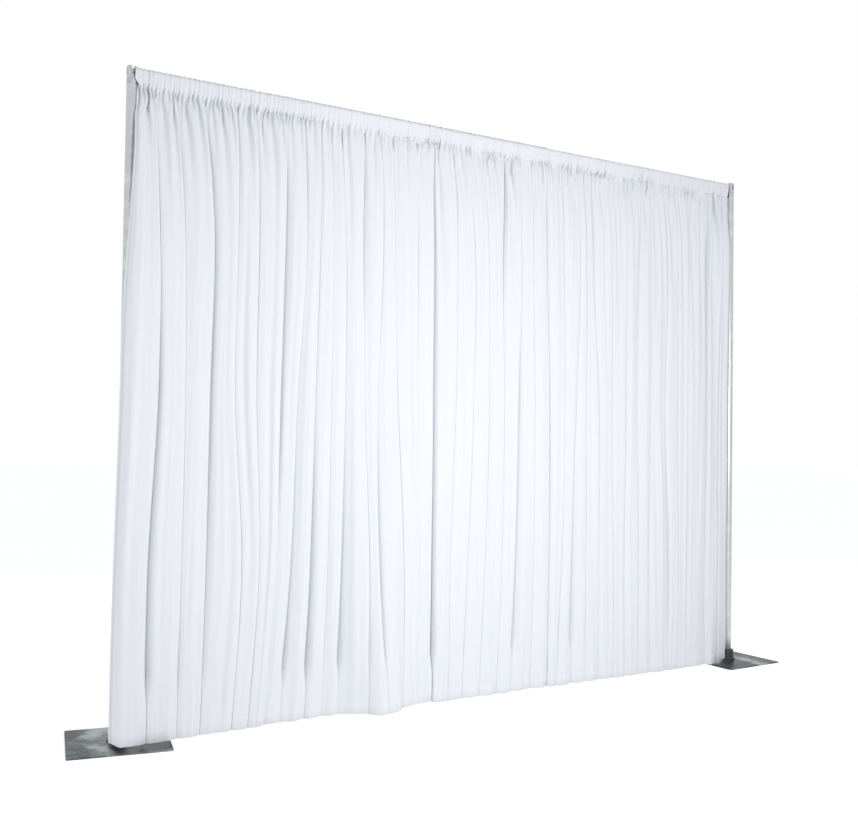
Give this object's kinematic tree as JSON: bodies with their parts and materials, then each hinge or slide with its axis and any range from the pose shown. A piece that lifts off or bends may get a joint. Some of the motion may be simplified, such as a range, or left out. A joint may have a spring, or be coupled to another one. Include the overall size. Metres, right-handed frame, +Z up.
{
  "type": "pipe and drape backdrop",
  "caption": "Free-standing backdrop: gathered white fabric panels on a telescoping crossbar hooked into slotted uprights that stand on flat square steel bases.",
  "frame": {"origin": "on the floor, halfway between the axes of the two uprights", "axes": "+X from the left upright to the right one as seen from the front, +Y to the back, +Z up"},
  "size_m": [3.4372, 0.4088, 2.438],
  "materials": {
    "base_steel": "polished dark steel plate",
    "collar_plastic": "moulded, satin",
    "zinc_steel": "zinc plated",
    "black_steel": "black oxide",
    "tube_aluminium": "satin anodised",
    "crown_aluminium": "turned",
    "nylon": "natural nylon",
    "plug_plastic": "moulded grey",
    "drape_fabric": "soft matt weave with a faint sheen"
  },
  "bodies": {
    "left_upright": {"left_upright_tube": "tube_aluminium", "left_foot_ferrule": "nylon", "left_upright_crown": "crown_aluminium"},
    "left_base": {"left_base_plate": "base_steel", "left_base_hub": "collar_plastic", "left_base_pin": "zinc_steel", "left_pin_insert": "zinc_steel", "left_pin_screw": "black_steel"},
    "crossbar_outer": {"crossbar_outer_tube": "tube_aluminium", "crossbar_mouth_bush": "nylon", "left_hook": "zinc_steel", "left_end_plug": "plug_plastic", "left_spring_pin_1": "black_steel", "left_spring_pin_2": "black_steel", "drape_panel_1": "drape_fabric", "drape_panel_2": "drape_fabric", "drape_panel_3": "drape_fabric", "drape_panel_4": "drape_fabric", "drape_panel_5": "drape_fabric"},
    "crossbar_inner": {"crossbar_inner_tube": "tube_aluminium", "crossbar_guide_plug": "nylon", "right_hook": "zinc_steel", "right_end_plug": "plug_plastic", "right_spring_pin_1": "black_steel", "right_spring_pin_2": "black_steel"},
    "right_upright": {"right_upright_tube": "tube_aluminium", "right_foot_ferrule": "nylon", "right_upright_crown": "crown_aluminium"},
    "right_base": {"right_base_plate": "base_steel", "right_base_hub": "collar_plastic", "right_base_pin": "zinc_steel", "right_pin_insert": "zinc_steel", "right_pin_screw": "black_steel"}
  },
  "joints": [
    {"name": "left_base_swivel", "type": "hinge", "parent": "left_upright", "child": "left_base", "pos_m": [-1.524, 0, 0], "axis": [0, 0, 1], "continuous": true},
    {"name": "crossbar_lift", "type": "slide", "parent": "left_upright", "child": "crossbar_outer", "axis": [0, 0, 1], "range_m": [0, 0.06]},
    {"name": "crossbar_telescope", "type": "slide", "parent": "crossbar_outer", "child": "crossbar_inner", "axis": [1, 0, 0], "range_m": [-1.2, 0], "deforming": ["drape_panel_1", "drape_panel_2", "drape_panel_3", "drape_panel_4", "drape_panel_5"]},
    {"name": "right_upright_hang", "type": "slide", "parent": "crossbar_inner", "child": "right_upright", "axis": [0, 0, 1], "range_m": [-0.06, 0]},
    {"name": "right_base_swivel", "type": "hinge", "parent": "right_upright", "child": "right_base", "pos_m": [1.524, 0, 0], "axis": [0, 0, 1], "continuous": true}
  ],
  "couplings": [
    {"joint": "right_upright_hang", "follows": "crossbar_lift", "ratio": -1}
  ]
}
